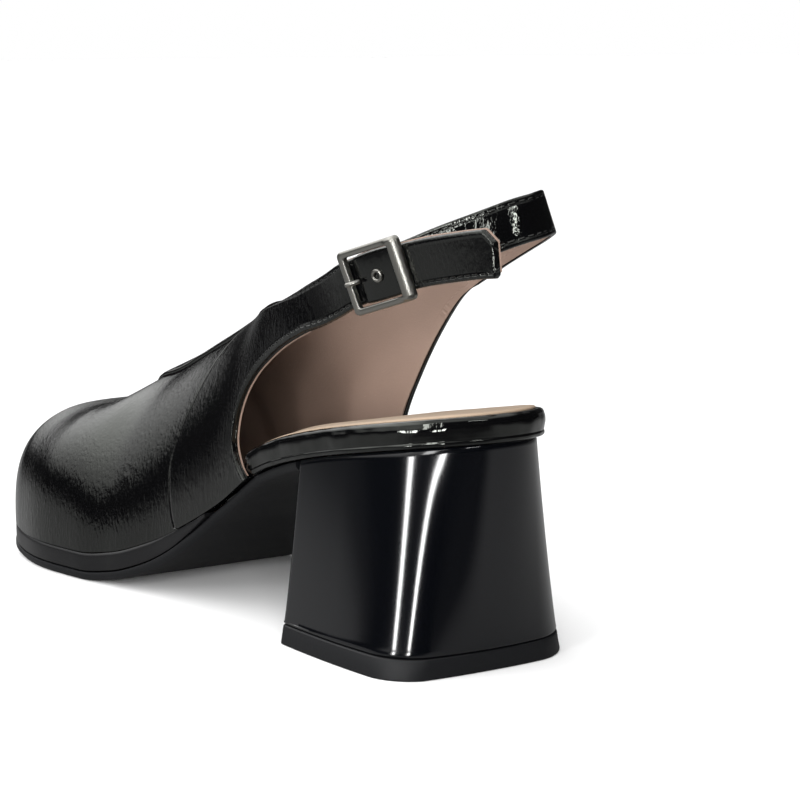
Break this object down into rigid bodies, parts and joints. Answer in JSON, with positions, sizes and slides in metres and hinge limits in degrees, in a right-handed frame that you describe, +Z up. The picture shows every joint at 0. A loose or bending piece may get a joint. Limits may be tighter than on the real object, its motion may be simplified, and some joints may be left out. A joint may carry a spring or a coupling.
{
  "type": "slingback pump",
  "caption": "Closed-toe slingback pump with a squared toe, cut-away sides, a buckled ankle strap and a flared block heel on a thin platform.",
  "frame": {"origin": "middle of the heel lift's flat face on the ground", "axes": "+X towards the toe, +Y to the outer side of the left foot, +Z up"},
  "size_m": [0.2586, 0.0807, 0.1299],
  "materials": {
    "patent": "crinkled high gloss",
    "band": "satin",
    "sole_rubber": "matte",
    "heel_lacquer": "high gloss",
    "sock_leather": "smooth matte",
    "buckle_metal": "aged satin"
  },
  "bodies": {
    "root": {"outsole": "sole_rubber", "platform_band": "band", "insole_board": "patent", "sock": "sock_leather", "heel_block": "heel_lacquer", "heel_lift": "sole_rubber", "upper": "patent", "buckle_frame": "buckle_metal", "buckle_prong": "buckle_metal", "strap_eyelet": "buckle_metal"}
  },
  "joints": []
}
